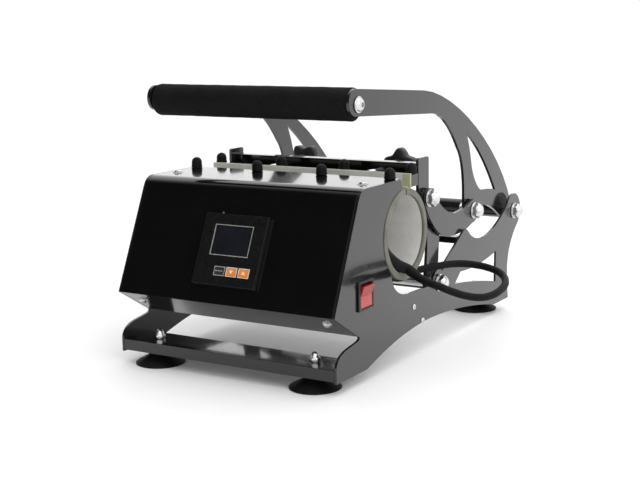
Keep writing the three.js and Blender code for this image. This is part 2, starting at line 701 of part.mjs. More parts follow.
const studHole = (x) => rod("y", KNOB.stud + GAP, -20, 20, [x, CROSS_BAR.y0, KNOB.z], 10);
const crossBar = block(-BETWEEN_ARMS, BETWEEN_ARMS, CROSS_BAR.y0, CROSS_BAR.y1, CROSS_BAR.z0, CROSS_BAR.z1);
add("swing_cross_bar", cut(crossBar, studHole(-KNOB.x), studHole(KNOB.x)), BLACK_PAINT());

// Star knob on its screw. The screw passes through the cross bar and pushes on the rear clamp bar.
function knobGeometry(x, lobeAt) {
  const star = new THREE.Shape();
  const steps = KNOB.lobes * 8;
  for (let i = 0; i < steps; i++) {
    const angle = (i / steps) * TURN;
    const r = KNOB.r - 2.6 + 2.6 * Math.cos(KNOB.lobes * (angle - lobeAt));
    star[i ? "lineTo" : "moveTo"](r * Math.cos(angle), r * Math.sin(angle));
  }
  star.closePath();
  const head = new THREE.ExtrudeGeometry(star, { depth: KNOB.thick, bevelEnabled: false });
  head.rotateX(Math.PI / 2).translate(0, KNOB.thick, 0);
  const screw = rod("y", KNOB.stud, CLAMP_BAR.y1 + GAP - KNOB.y, 1, [0, 0, 0], 10);
  const hub = rod("y", 8, -6, 1, [0, 0, 0], 12);
  return join(head, screw, hub).translate(x, KNOB.y, KNOB.z);
}
add("left_star_knob", knobGeometry(-KNOB.x, deg(54)), PLASTIC());
add("right_star_knob", knobGeometry(KNOB.x, deg(90)), PLASTIC());

export default press;
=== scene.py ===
"""Looks of the mug heat press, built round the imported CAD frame. Metres, +Z up, +Y to the rear."""
import math

import bmesh
import bpy
from mathutils import Matrix, Vector


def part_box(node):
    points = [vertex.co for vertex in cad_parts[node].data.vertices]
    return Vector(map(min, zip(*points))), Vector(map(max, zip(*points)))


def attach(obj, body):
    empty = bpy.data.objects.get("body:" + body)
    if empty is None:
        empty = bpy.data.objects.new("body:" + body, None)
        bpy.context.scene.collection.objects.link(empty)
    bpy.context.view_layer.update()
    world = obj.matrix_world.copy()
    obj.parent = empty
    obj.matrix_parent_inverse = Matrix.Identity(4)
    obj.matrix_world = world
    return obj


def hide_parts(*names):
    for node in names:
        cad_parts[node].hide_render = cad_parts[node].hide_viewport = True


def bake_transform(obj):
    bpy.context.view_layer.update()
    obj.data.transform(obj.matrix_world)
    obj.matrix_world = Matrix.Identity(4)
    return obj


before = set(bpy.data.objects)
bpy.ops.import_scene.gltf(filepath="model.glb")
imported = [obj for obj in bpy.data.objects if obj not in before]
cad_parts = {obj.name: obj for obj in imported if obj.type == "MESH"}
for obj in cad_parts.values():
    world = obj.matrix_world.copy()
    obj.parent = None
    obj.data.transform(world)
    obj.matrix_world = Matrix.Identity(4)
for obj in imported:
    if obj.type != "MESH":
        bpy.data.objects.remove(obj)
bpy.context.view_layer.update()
scene = bpy.context.scene

MM = 0.001
TURN = 2 * math.pi
SIDES = {"right": 1, "left": -1}
X_AXIS = Vector((1, 0, 0))
Y_AXIS = Vector((0, 1, 0))
Z_AXIS = Vector((0, 0, 1))
MILLIMETRES = Matrix.Scale(MM, 4)


# ------------------------------------------------------------------ places in the CAD frame
def centre(node_name):
    """Middle of a CAD node's box."""
    low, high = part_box(node_name)
    return (low + high) / 2


def facing(direction, origin):
    """Millimetres along local Z become metres along `direction` from `origin`."""
    turn = Vector(direction).to_track_quat("Z", "Y").to_matrix().to_4x4()
    return Matrix.Translation(origin) @ turn @ MILLIMETRES


# ------------------------------------------------------------------ camera
LENS = 70.84
SENSOR_WIDTH = 36
SHIFT_UP = -0.003125
NEAREST_SEEN = 0.05
CAMERA_AT = Vector((0.6871, -1.1478, 0.3453))
AZIMUTH = math.radians(31.57)
ELEVATION = math.radians(10.36)
ROLL = math.radians(-1.02)


def make_camera():
    """A level camera turned by its azimuth and elevation, then rolled about its own view."""
    back = Vector((
        math.sin(AZIMUTH) * math.cos(ELEVATION),
        -math.cos(AZIMUTH) * math.cos(ELEVATION),
        math.sin(ELEVATION),
    ))
    level_right = (-back).cross(Z_AXIS).normalized()
    level_up = back.cross(level_right)
    right = math.cos(ROLL) * level_right + math.sin(ROLL) * level_up
    up = math.cos(ROLL) * level_up - math.sin(ROLL) * level_right
    data = bpy.data.cameras.new("Camera")
    data.sensor_width = SENSOR_WIDTH
    data.lens = LENS
    data.shift_y = SHIFT_UP
    data.clip_start = NEAREST_SEEN
    camera = bpy.data.objects.new("Camera", data)
    turn = Matrix((right, up, back)).transposed().to_4x4()
    camera.matrix_world = Matrix.Translation(CAMERA_AT) @ turn
    scene.collection.objects.link(camera)
    scene.camera = camera


# ------------------------------------------------------------------ materials
def srgb(*levels):
    """0 to 255 levels as a linear colour."""
    linear = [((v / 255 + 0.055) / 1.055) ** 2.4 if v > 10 else v / 255 / 12.92 for v in levels]
    return (*linear, 1)


def new_material(name, roughness=0.5, metallic=0.0):
    material = bpy.data.materials.new(name)
    material.use_nodes = True
    shader = material.node_tree.nodes["Principled BSDF"]
    shader.inputs["Roughness"].default_value = roughness
    shader.inputs["Metallic"].default_value = metallic
    return material, shader


def node(owner, kind, inputs=None, **settings):
    """A node of a material or world; its inputs are values or other nodes' outputs."""
    made = owner.node_tree.nodes.new("ShaderNode" + kind)
    for key, value in settings.items():
        setattr(made, key, value)
    for key, value in (inputs or {}).items():
        if isinstance(value, bpy.types.NodeSocket):
            owner.node_tree.links.new(value, made.inputs[key])
        else:
            made.inputs[key].default_value = value
    return made


def noise(material, scale, detail=3.0, stretch=(1, 1, 1)):
    """Noise in the object's own metres; scale is in features a metre."""
    place = node(material, "TexCoord").outputs["Object"]
    if stretch != (1, 1, 1):
        place = node(material, "Mapping", {"Vector": place, "Scale": stretch}).outputs["Vector"]
    made = node(material, "TexNoise", {"Vector": place, "Scale": scale, "Detail": detail, "Roughness": 0.6})
    return made.outputs["Fac"]


def span(material, value, low, high, from_low=0.3, from_high=0.7):
    """The value's range from from_low to from_high, stretched over low to high."""
    inputs = {"Value": value, "From Min": from_low, "From Max": from_high, "To Min": low, "To Max": high}
    return node(material, "MapRange", inputs).outputs["Result"]


def blended(material, value, dark, light, from_low=0.3, from_high=0.7):
    """One colour where the value is low, and the other where it is high."""
    share = span(material, value, 0, 1, from_low, from_high)
    mix = node(material, "Mix", {"Factor": share}, data_type="RGBA")
    mix.inputs["A"].default_value = dark
    mix.inputs["B"].default_value = light
    return mix.outputs["Result"]


def set_colour(material, shader, value):
    material.node_tree.links.new(value, shader.inputs["Base Color"])


def set_roughness(material, shader, value):
    material.node_tree.links.new(value, shader.inputs["Roughness"])


def set_bump(material, shader, height, strength, depth_mm):
    inputs = {"Height": height, "Strength": strength, "Distance": depth_mm * MM}
    bump = node(material, "Bump", inputs)
    material.node_tree.links.new(bump.outputs["Normal"], shader.inputs["Normal"])


def surface(name, dark, light, rough, grain, patch=35, metallic=0.0):
    """Colour and roughness that drift over patches; grain is (features a metre, strength, depth in mm)."""
    material, shader = new_material(name, metallic=metallic)
    patches = noise(material, patch)
    set_colour(material, shader, blended(material, patches, dark, light))
    set_roughness(material, shader, span(material, noise(material, patch * 7, 5), *rough))
    set_bump(material, shader, noise(material, grain[0], 4), grain[1], grain[2])
    return material, shader


def powder_coat(name, dark, light, rough):
    """Gloss powder coat: a faint orange peel under a hard clear skin."""
    material, shader = surface(name, dark, light, rough, grain=(520, 0.10, 0.05), patch=22)
    shader.inputs["IOR"].default_value = 1.5
    shader.inputs["Coat Weight"].default_value = 0.35
    shader.inputs["Coat Roughness"].default_value = 0.04
    return material


def zinc(name):
    """Bright zinc plate with fine turning marks and dull spots."""
    dark, light = srgb(196, 198, 200), srgb(228, 228, 226)
    material, shader = surface(name, dark, light, (0.12, 0.3), (2600, 0.12, 0.03), patch=160, metallic=1.0)
    shader.inputs["Anisotropic"].default_value = 0.3
    return material


def rubber(name):
    """Dull black with a fine moulded grain."""
    dark, light = srgb(6, 6, 6), srgb(13, 13, 13)
    material, shader = surface(name, dark, light, (0.5, 0.72), (1500, 0.35, 0.12), patch=70)
    shader.inputs["Specular IOR Level"].default_value = 0.16
    return material


def foam(name):
    """Closed-cell foam: a skin of small cells with a soft sheen."""
    dark, light = srgb(10, 10, 10), srgb(17, 17, 17)
    material, shader = surface(name, dark, light, (0.72, 0.92), (1300, 0.3, 0.2), patch=45)
    place = node(material, "TexCoord").outputs["Object"]
    cells = node(material, "TexVoronoi", {"Vector": place, "Scale": 1100.0}).outputs["Distance"]
    bumpy = node(material, "Math", {0: cells, 1: noise(material, 420, 5)}, operation="ADD").outputs[0]
    set_bump(material, shader, bumpy, 0.45, 0.22)
    shader.inputs["Specular IOR Level"].default_value = 0.12
    return material


def woven(name, dark, light, rough, pitch_mm):
    """Silicone over glass cloth: the weave prints through as a crossed ribbing."""
    material, shader = surface(name, dark, light, rough, grain=(1500, 0.2, 0.1), patch=40)
    place = node(material, "TexCoord").outputs["Object"]
    ribs = []
    for direction in ("X", "DIAGONAL"):
        inputs = {"Vector": place, "Scale": 1 / (pitch_mm * MM) / TURN, "Distortion": 1.5, "Detail": 1.0}
        ribs.append(node(material, "TexWave", inputs, bands_direction=direction).outputs["Fac"])
    weave = node(material, "Math", {0: ribs[0], 1: ribs[1]}, operation="ADD").outputs[0]
    fuzz = noise(material, 900, 4)
    height = node(material, "Math", {0: weave, 1: fuzz}, operation="ADD").outputs[0]
    set_bump(material, shader, height, 0.25, 0.12)
    return material


def plastic(name, dark, light, rough=(0.34, 0.5), patch=60):
    """Moulded plastic with a fine spark-eroded grain."""
    material, _ = surface(name, dark, light, rough, grain=(2300, 0.2, 0.06), patch=patch)
    return material


def glass_window(name):
    """Dark display window under a clear skin."""
    dark, light = srgb(20, 22, 27), srgb(28, 30, 37)
    material, shader = surface(name, dark, light, (0.04, 0.16), (90, 0.03, 0.05), patch=55)
    shader.inputs["Coat Weight"].default_value = 0.6
    shader.inputs["Coat Roughness"].default_value = 0.03
    return material


ROCKER_MIDDLE_UP = centre("switch_rocker").z
ROCKER_FADE = 1.5 * MM


def rocker_red(name):
    """Clear red plastic, with a painted highlight: paler on the lower half, below the rocker's middle."""
    deep, painted_highlight_red = srgb(150, 18, 24), srgb(178, 62, 60)
    material, shader = surface(name, deep, painted_highlight_red, (0.16, 0.32), (900, 0.12, 0.06), patch=90)
    place = node(material, "TexCoord").outputs["Object"]
    height = node(material, "SeparateXYZ", {"Vector": place}).outputs["Z"]
    fade_from, fade_to = ROCKER_MIDDLE_UP - ROCKER_FADE, ROCKER_MIDDLE_UP + ROCKER_FADE
    # Painted highlight: the lower half paler, the upper half deeper red.
    set_colour(material, shader, blended(material, height, painted_highlight_red, deep, fade_from, fade_to))
    shader.inputs["Subsurface Weight"].default_value = 0.25
    shader.inputs["Subsurface Radius"].default_value = (0.004, 0.001, 0.001)
    return material


def board_green(name):
    """Solder mask over copper tracks."""
    dark, light = srgb(16, 60, 34), srgb(24, 84, 48)
    material, shader = surface(name, dark, light, (0.25, 0.45), (1200, 0.2, 0.08))
    tracks = node(material, "TexBrick", {
        "Vector": node(material, "TexCoord").outputs["Object"],
        "Scale": 90.0,
        "Color1": dark,
        "Color2": light,
        "Mortar": srgb(70, 120, 60),
        "Mortar Size": 0.06,
    })
    set_colour(material, shader, tracks.outputs["Color"])
    return material


def brass(name):
    """Bare brass with faint drawing marks."""
    dark, light = srgb(186, 170, 120), srgb(214, 200, 150)
    material, _ = surface(name, dark, light, (0.2, 0.35), (1500, 0.1, 0.04), patch=200, metallic=1.0)
    return material


black_coat = powder_coat("gloss_black_powder_coat", srgb(8, 8, 9), srgb(12, 12, 13), (0.08, 0.15))
plate_coat = powder_coat("black_plate_powder_coat", srgb(20, 20, 21), srgb(27, 27, 28), (0.12, 0.2))
bright_zinc = zinc("bright_zinc")
black_rubber = rubber("black_rubber")
grip_foam = foam("grip_foam")
mat_cloth = woven("olive_heater_cloth", srgb(88, 88, 78), srgb(112, 112, 100), (0.5, 0.7), 1.1)
# A paler copy of the mat's olive cloth: painted light, standing in for the light on the folded flange.
lit_flange_cloth = woven("lit_olive_flange", srgb(166, 168, 136), srgb(194, 195, 168), (0.5, 0.7), 1.1)
lining_cloth = woven("pale_heater_lining", srgb(196, 194, 190), srgb(216, 215, 211), (0.42, 0.6), 0.9)
black_plastic = plastic("black_plastic", srgb(13, 13, 14), srgb(21, 21, 22))
bezel_plastic = plastic("bezel_plastic", srgb(7, 7, 8), srgb(12, 12, 13), (0.25, 0.4))
display_glass = glass_window("display_window")
dark_key = plastic("dark_key", srgb(30, 31, 36), srgb(44, 45, 50))
orange_key = plastic("orange_key", srgb(214, 112, 30), srgb(234, 136, 48))
white_print = plastic("white_print", srgb(196, 190, 180), srgb(226, 220, 210), (0.5, 0.65), patch=300)
matt_black = rubber("matt_black_coat")
lamp_plastic = plastic("lamp_plastic", srgb(84, 84, 82), srgb(104, 104, 100), (0.3, 0.45), patch=300)
grey_print = plastic("grey_print", srgb(128, 128, 124), srgb(164, 164, 158), (0.45, 0.6), patch=300)
red_plastic = rocker_red("red_rocker")
circuit_green = board_green("circuit_board")
pin_brass = brass("pin_brass")


# ------------------------------------------------------------------ edges and shading
def smooth_by_angle(limit_degrees):
    """One modifier group that shades smooth across edges flatter than the limit."""
    group = bpy.data.node_groups.new("SmoothByAngle%d" % limit_degrees, "GeometryNodeTree")
    group.interface.new_socket("Geometry", in_out="INPUT", socket_type="NodeSocketGeometry")
    group.interface.new_socket("Geometry", in_out="OUTPUT", socket_type="NodeSocketGeometry")
    nodes, links = group.nodes, group.links
    entry, leave = nodes.new("NodeGroupInput"), nodes.new("NodeGroupOutput")
    angle = nodes.new("GeometryNodeInputMeshEdgeAngle")
    sharp = nodes.new("FunctionNodeCompare")
    sharp.operation = "GREATER_THAN"
    sharp.inputs[1].default_value = math.radians(limit_degrees)
    links.new(angle.outputs["Unsigned Angle"], sharp.inputs[0])
    faces = nodes.new("GeometryNodeSetShadeSmooth")
    faces.inputs["Shade Smooth"].default_value = True
    edges = nodes.new("GeometryNodeSetShadeSmooth")
    edges.domain = "EDGE"
    edges.inputs["Shade Smooth"].default_value = False
    links.new(entry.outputs[0], faces.inputs["Geometry"])
    links.new(faces.outputs[0], edges.inputs["Geometry"])
    links.new(sharp.outputs[0], edges.inputs["Selection"])
    links.new(edges.outputs[0], leave.inputs[0])
    return group


SMOOTHING = smooth_by_angle(38)
WELD_MM = 0.01
SHARPEST_LEFT = math.radians(40)
FLAT_FACES_FIRST = 100  # the weighted normals follow the largest faces


def soften(obj, edge_mm):
    """Rounds sharp edges and shades curves smooth."""
    weld = obj.modifiers.new("Weld", "WELD")
    weld.merge_threshold = WELD_MM * MM
    if edge_mm:
        bevel = obj.modifiers.new("Edges", "BEVEL")
        bevel.width = edge_mm * MM
        bevel.segments = 2
        bevel.limit_method = "ANGLE"
        bevel.angle_limit = SHARPEST_LEFT
        bevel.use_clamp_overlap = True
    obj.modifiers.new("Smooth", "NODES").node_group = SMOOTHING
    flat = obj.modifiers.new("Flat", "WEIGHTED_NORMAL")
    flat.keep_sharp = True
    flat.weight = FLAT_FACES_FIRST


# ----------------------------------------------------- mesh makers, each giving (vertices in mm, faces)
def hexagon(flat, corner):
    """Radius of a hexagon by angle: `flat` to the flats, with its corners turned down to `corner`."""
    sixth = TURN / 6
    return lambda angle: min(flat / math.cos((angle + sixth / 2) % sixth - sixth / 2), corner)


def turned(rings, sides=36, closed=False):
    """Rings of (height, radius) joined up local Z. A radius may be a function of the angle."""
    verts, faces, loops = [], [], []
    for height, radius in rings:
        start = len(verts)
        if radius == 0:
            verts.append((0, 0, height))
        else:
            for i in range(sides):
                angle = TURN * i / sides
                r = radius(angle) if callable(radius) else radius
                verts.append((r * math.cos(angle), r * math.sin(angle), height))
        loops.append(list(range(start, len(verts))))
    for low, high in list(zip(loops, loops[1:])) + ([(loops[-1], loops[0])] if closed else []):
        for i in range(sides):
            j = (i + 1) % sides
            if len(low) == 1:
                faces.append((low[0], high[j], high[i]))
            elif len(high) == 1:
                faces.append((low[i], low[j], high[0]))
            else:
                faces.append((low[i], low[j], high[j], high[i]))
    return verts, faces


def box(low, high):
    """A block between two opposite corners."""
    xs, ys, zs = zip(low, high)
    corners = [(x, y, z) for x in xs for y in ys for z in zs]
    return corners, [(0, 1, 3, 2), (4, 6, 7, 5), (0, 4, 5, 1), (2, 3, 7, 6), (0, 2, 6, 4), (1, 5, 7, 3)]


def prism(outline, low, high):
    """An outline in the local XY plane, from height low to high."""
    n = len(outline)
    verts = [(x, y, z) for z in (low, high) for x, y in outline]
    walls = [(i, (i + 1) % n, n + (i + 1) % n, n + i) for i in range(n)]
    return verts, [tuple(range(n))[::-1], tuple(range(n, 2 * n)), *walls]


def dome(radius, low, high, steps=6):
    """Rings of a rounded end from `radius` at height low to the axis at height high."""
    quarter = math.pi / 2
    rings = [
        (low + (high - low) * math.sin(quarter * i / steps), radius * math.cos(quarter * i / steps))
        for i in range(steps)
    ]
    return rings + [(high, 0)]


def thread(radius, low, high, pitch=1.5, depth=0.45):
    """Rings of a screw thread, as grooves a pitch apart."""
    count = int((high - low) / pitch)
    rings = []
    for i in range(count):
        start = low + i * pitch
        rings += [(start, radius - depth), (start + pitch * 0.45, radius), (start + pitch * 0.6, radius)]
    return rings + [(high, radius - depth)]


def washer(radius, thick, start=0.0):
    rounding = 0.3
    return turned([
        (start, 0),
        (start, radius - rounding),
        (start + rounding, radius),
        (start + thick - rounding, radius),
        (start + thick, radius - rounding),
        (start + thick, 0),
    ])


def hex_rings(flat, low, high):
    """A hexagon with turned-down corners at both ends, open towards the axis."""
    corner = flat / math.cos(math.pi / 6)
    bevelled, full = hexagon(flat * 0.97, flat * 0.99), hexagon(flat, corner)
    slope = 0.9
    return [(low, bevelled), (low + slope, full), (high - slope, full), (high, bevelled)]


def acorn_nut(flat, start, hex_top, tip):
    """Hexagon with a domed cap."""
    rings = [(start, 0), *hex_rings(flat, start, hex_top), (hex_top + 0.1, flat * 0.88)]
    return turned(rings + dome(flat * 0.84, hex_top + 0.5, tip), 48)


def hex_head(flat, start, top):
    return turned([(start, 0), *hex_rings(flat, start, top), (top, 0)], 48)


def plain_rod(radius, low, high, sides=28):
    return turned([(low, 0), (low, radius), (high, radius), (high, 0)], sides)


def screw_head(radius, height, start=0.0):
    """Pan head with a cross recess."""
    reach, half_slot, sink = radius * 0.55, radius * 0.17, height * 0.5
    rings = [
        (start, 0),
        (start, radius * 0.97),
        (start + height * 0.35, radius),
        (start + height * 0.75, radius * 0.86),
    ]
    steps = 7
    for i in range(steps):
        share = 1 - i / steps
        rings.append((start + height * (1 - 0.14 * share * share), radius * 0.76 * share))
    rings.append((start + height, 0))
    verts, faces = turned(rings, 48)
    cut = []
    for x, y, z in verts:
        in_cross = min(abs(x), abs(y)) < half_slot and max(abs(x), abs(y)) < reach
        cut.append((x, y, z - sink) if in_cross and z > start + height * 0.7 else (x, y, z))
    return cut, faces


def tooth_washer(radius, thick, teeth=14):
    """Flat washer with a toothed rim."""
    def rim(angle):
        return radius * (1 + 0.09 * math.cos(teeth * angle))

    return turned([(0, 0), (0, rim), (thick, rim), (thick, 0)], teeth * 6)


ROUND = 2
SQUARISH = 2.3


def swept(points, sizes, across, sides=20):
    """A rounded tube along points in mm. sizes are (half height along `across`, half width, squareness)."""
    verts, faces = [], []
    count = len(points)
    for i, point in enumerate(points):
        along = (points[min(i + 1, count - 1)] - points[max(i - 1, 0)]).normalized()
        up = (across - along * across.dot(along)).normalized()
        side = along.cross(up)
        high, wide, power = sizes[i]
        for k in range(sides):
            c, s = math.cos(TURN * k / sides), math.sin(TURN * k / sides)
            stretch = (abs(c) ** power + abs(s) ** power) ** (-1 / power)
            verts.append(tuple(point + up * (high * c * stretch) + side * (wide * s * stretch)))
    for i in range(count - 1):
        for k in range(sides):
            a, b = i * sides + k, i * sides + (k + 1) % sides
            faces.append((a, b, b + sides, a + sides))
    faces.append(tuple(range(sides))[::-1])
    faces.append(tuple(range((count - 1) * sides, count * sides)))
    return verts, faces


# ------------------------------------------------------------------ making pieces
def new_piece(name, shells, material, edge_mm=0.0):
    """One object from shells, which are pairs of a mesh and the matrix that places it."""
    bm = bmesh.new()
    for (verts, faces), where in shells:
        made = [bm.verts.new(where @ Vector(v)) for v in verts]
        for face in faces:
            bm.faces.new([made[i] for i in face])
    bmesh.ops.recalc_face_normals(bm, faces=bm.faces)
    mesh = bpy.data.meshes.new(name)
    bm.to_mesh(mesh)
    bm.free()
    mesh.materials.append(material)
    obj = bpy.data.objects.new(name, mesh)
    scene.collection.objects.link(obj)
    soften(obj, edge_mm)
    return obj


def add_piece(name, shells, material, body="root", replaces=(), edge_mm=0.0):
    """A piece that rides one body, in place of the CAD nodes that it replaces."""
    obj = new_piece(name, shells, material, edge_mm)
    if replaces:
        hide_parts(*replaces)
    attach(obj, body)
    return obj


# ------------------------------------------------------------------ heater lead
MODEL_SHIFT = Vector((0, -190.5, 0))  # the route is written from the front feet, as in the CAD source
LEAD_ROUTE = [Vector(point) + MODEL_SHIFT for point in (
    (129.5, 111.5, 95.5), (136, 111, 92), (143, 109.5, 88.5), (153, 107, 85.5),
    (166.5, 106.5, 82.5), (179.5, 109, 78), (191, 115, 74), (200.5, 124.5, 71.5),
    (207, 137.5, 71.5), (209.5, 152, 73.5), (208, 167, 75.5), (203, 181, 77),
    (195.5, 194.5, 78), (185, 205, 80), (171.5, 210.5, 82), (158, 211, 83.5),
    (145, 207, 84.5), (133.5, 198, 84.5), (125.5, 186, 84), (115, 171.5, 82.5),
    (104, 152, 79.5), (95, 128, 76.5), (89, 103, 74), (86, 82, 71.5),
    (85, 67, 70),
)]
LEAD_DIAMETER = 7.4 * MM


def make_lead():
    """The lead as one smooth curve along its route."""
    curve = bpy.data.curves.new("heater_lead_cord", "CURVE")
    curve.dimensions = "3D"
    curve.bevel_depth = LEAD_DIAMETER / 2
    curve.bevel_resolution = 5
    curve.resolution_u = 8
    curve.use_fill_caps = True
    spline = curve.splines.new("BEZIER")
    spline.bezier_points.add(len(LEAD_ROUTE) - 1)
    for knot, place in zip(spline.bezier_points, LEAD_ROUTE):
        knot.co = place * MM
        knot.handle_left_type = knot.handle_right_type = "AUTO"
    curve.materials.append(black_rubber)
    lead = bpy.data.objects.new("heater_lead_cord", curve)
    scene.collection.objects.link(lead)
    return lead


HEATER_OUTER = 45.0
HEATER_INNER = 38.5
heater_low, heater_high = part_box("heater_front")
HEATER_AXIS = Vector((0, heater_low.y / MM + HEATER_OUTER, heater_low.z / MM + HEATER_OUTER))
HEATER_HALF = heater_high.x / MM


def on_heater(angle_degrees, radius, x=0.0):
    """Millimetres: a point at an angle round the heater, 0 to the rear and 90 up."""
    angle = math.radians(angle_degrees)
    return HEATER_AXIS + Vector((x, radius * math.cos(angle), radius * math.sin(angle)))


BOOT_FROM = 205  # degrees round the heater
BOOT_SWEEP = 53
BOOT_MIDDLE = 232
BOOT_HALF_THICK = 8.6
BOOT_TAPER = 3.4
BOOT_RUN_OUT = 17  # how far it comes out along the heater's axis
BOOT_STEPS = 9
BOOT_SLEEVE_RADII = (5.0, 5.2, 5.0, 4.6, 4.3, 4.1, 3.8)


def make_boot():
    """Moulded boot: a thick sleeve that runs down the heater's inner wall and tapers on to the lead."""
    boot_low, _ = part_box("heater_boot")
    start_x = boot_low.x / MM - 1.5
    wall = HEATER_INNER - 0.4
    points, sizes = [], []
    for i in range(BOOT_STEPS):
        share = i / BOOT_STEPS
        size = BOOT_HALF_THICK - BOOT_TAPER * share ** 1.5
        x = start_x + BOOT_RUN_OUT * share ** 1.4
        points.append(on_heater(BOOT_FROM + BOOT_SWEEP * share, wall - size, x))
        sizes.append((size, size, SQUARISH))
    blunt_end = BOOT_HALF_THICK * 0.75
    points.insert(0, points[0].lerp(points[1], -0.2))
    sizes.insert(0, (blunt_end, blunt_end, SQUARISH))
    for i, size in enumerate(BOOT_SLEEVE_RADII):
        points.append(LEAD_ROUTE[i // 2].lerp(LEAD_ROUTE[i // 2 + 1], 0.5 * (i % 2)))
        sizes.append((size, size, ROUND))
    shell = swept(points, sizes, across=on_heater(BOOT_MIDDLE, -1) - HEATER_AXIS)
    return add_piece(
        "heater_boot_sleeve",
        [(shell, MILLIMETRES)],
        black_rubber,
        replaces=["heater_boot"],
    )


make_camera()
lead = make_lead()
boot = make_boot()
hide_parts("heater_lead")
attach(lead, "root")


def make_gland():
    """Cable gland in the baffle: hexagon, domed nut and a tapered rubber nose on the lead."""
    low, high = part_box("lead_gland")
    where = facing(Y_AXIS, Vector(((low.x + high.x) / 2, low.y, (low.z + high.z) / 2)))
    hex_top = 4.2
    body = hex_head(8.2, 0, hex_top)
    cap = turned([(hex_top, 0), (hex_top, 7), (8, 7), (9.6, 6.4), (10.7, 5.2), (10.7, 0)])
    shells = [(body, where), (cap, where)]
    add_piece("lead_gland_nut", shells, black_plastic, replaces=["lead_gland"])
    last, before, earlier = LEAD_ROUTE[:-4:-1]
    nose = [last, last.lerp(before, 0.5), before, before.lerp(earlier, 0.4)]
    sizes = [(radius, radius, ROUND) for radius in (6.2, 5.6, 5.0, 4.3)]
    shell = swept(nose, sizes, Z_AXIS)
    add_piece("lead_gland_nose", [(shell, MILLIMETRES)], black_rubber, edge_mm=0.3)


# ------------------------------------------------------------------ heater mat
LINING_THICK = 1.4
MAT_SEAM = 196.0  # degrees round the heater, where the fixed and the moving half meet
MAT_FRONT_END = 92.0
MAT_REAR_END = 449.0
MAT_LIP = 0.5
MAT_RIM = 3.0


def mirrored(section):
    """A section drawn for x > 0 as (x, radius), closed by its mirror image."""
    return section + [(-x, r) for x, r in reversed(section)]


def bent(section, from_angle, to_angle, steps):
    """A section swept round the heater's axis between two angles."""
    verts, faces = [], []
    n = len(section)
    for i in range(steps + 1):
        angle = from_angle + (to_angle - from_angle) * i / steps
        verts += [tuple(on_heater(angle, r, x)) for x, r in section]
    for i in range(steps):
        for k in range(n):
            a, b = i * n + k, i * n + (k + 1) % n
            faces.append((a, b, b + n, a + n))
    faces.append(tuple(range(n)))
    faces.append(tuple(range(steps * n, (steps + 1) * n))[::-1])
    return verts, faces


def make_heater():
    """The mat and its lining: the front halves are fixed, the rear halves, from the seam round to the far
    end, are separate pieces.
    """
    skin = HEATER_INNER + LINING_THICK
    mat_section = mirrored([
        (HEATER_HALF - MAT_RIM, skin),
        (HEATER_HALF - MAT_RIM, HEATER_INNER),
        (HEATER_HALF - MAT_LIP, HEATER_INNER),
        (HEATER_HALF, HEATER_INNER + MAT_LIP),
        (HEATER_HALF, HEATER_OUTER - MAT_LIP),
        (HEATER_HALF - MAT_LIP, HEATER_OUTER),
    ])
    lining_end = HEATER_HALF - MAT_RIM - 0.1
    lining_section = mirrored([(lining_end, HEATER_INNER), (lining_end, skin - 0.02)])
    parts = (("heater_mat", mat_section, mat_cloth), ("heater_lining", lining_section, lining_cloth))
    for name, section, material in parts:
        front_shell = bent(section, MAT_FRONT_END, MAT_SEAM, 48)
        rear_shell = bent(section, MAT_SEAM, MAT_REAR_END, 100)
        fixed = new_piece(name + "_front", [(front_shell, MILLIMETRES)], material)
        moving = new_piece(name + "_rear", [(rear_shell, MILLIMETRES)], material)
        if name == "heater_mat":
            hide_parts("heater_front")
            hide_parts("heater_rear")
        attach(fixed, "root")
        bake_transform(moving)


def make_cradle():
    """Matt black steel shell under the front of the heater, on two brackets from the baffle."""
    _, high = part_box("box_rear_baffle")
    baffle_back = high.y / MM
    half = high.x / MM - 1
    inner = HEATER_OUTER + 0.5
    outer = HEATER_OUTER + 2.1
    shell = bent(mirrored([(half, inner), (half, outer)]), 186, 292, 40)
    shells = [(shell, MILLIMETRES)]
    front = on_heater(192, outer - 0.5)
    bracket_half = 9
    for x in (-70, 70):
        low_corner = (x - bracket_half, baffle_back - 0.2, front.z - 1)
        high_corner = (x + bracket_half, front.y, front.z + 1)
        shells.append((box(low_corner, high_corner), MILLIMETRES))
    add_piece("heater_cradle", shells, matt_black, edge_mm=0.3)


def make_flange():
    """Olive strip of the mat, folded up in front of the rear clamp bar; its foot lies along the mat."""
    low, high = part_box("rear_clamp_bar")
    low, high = low / MM, high / MM
    half, front = high.x, low.y
    thick = 2.6
    top = high.z + 1.5
    back, face = front - 0.2, front - thick
    foot = [on_heater(angle, HEATER_OUTER + 0.15) for angle in (76, 71, 66, 61)]
    outline = [(place.y, place.z) for place in foot]
    toe_y, toe_z = outline[0]
    heel_z = outline[-1][1]
    outline += [(back, heel_z + 4), (back, top), (face, top)]
    outline += [(face, low.z - 2), (face - 4, low.z + 0.4), (toe_y + 1, toe_z + 1.6)]
    sideways = Matrix(((0, 0, 1, 0), (1, 0, 0, 0), (0, 1, 0, 0), (0, 0, 0, 1)))
    shell = prism(outline, -half, half)
    bare_end, facing_thick = 9, 0.4
    facing_strip = box((-half, face - facing_thick, low.z), (half - bare_end, face - 0.02, high.z + 1.4))
    add_piece("flange_facing", [(facing_strip, MILLIMETRES)], lining_cloth, "clamp")
    # The flange wears the paler copy of the mat's cloth: painted light.
    add_piece("heater_flange", [(shell, MILLIMETRES @ sideways)], lit_flange_cloth, "clamp", edge_mm=0.4)


# ------------------------------------------------------------------ nuts, bolts and shafts
ROD_R = 4.9
WASHER_R = 9
HEX_FLAT = 8.3
SHAFT_NUT_FLAT = 7.2
LINK_NUT_FLAT = 7.4
NUT_START = 1.6  # from the plate's face to the nut, over the washer


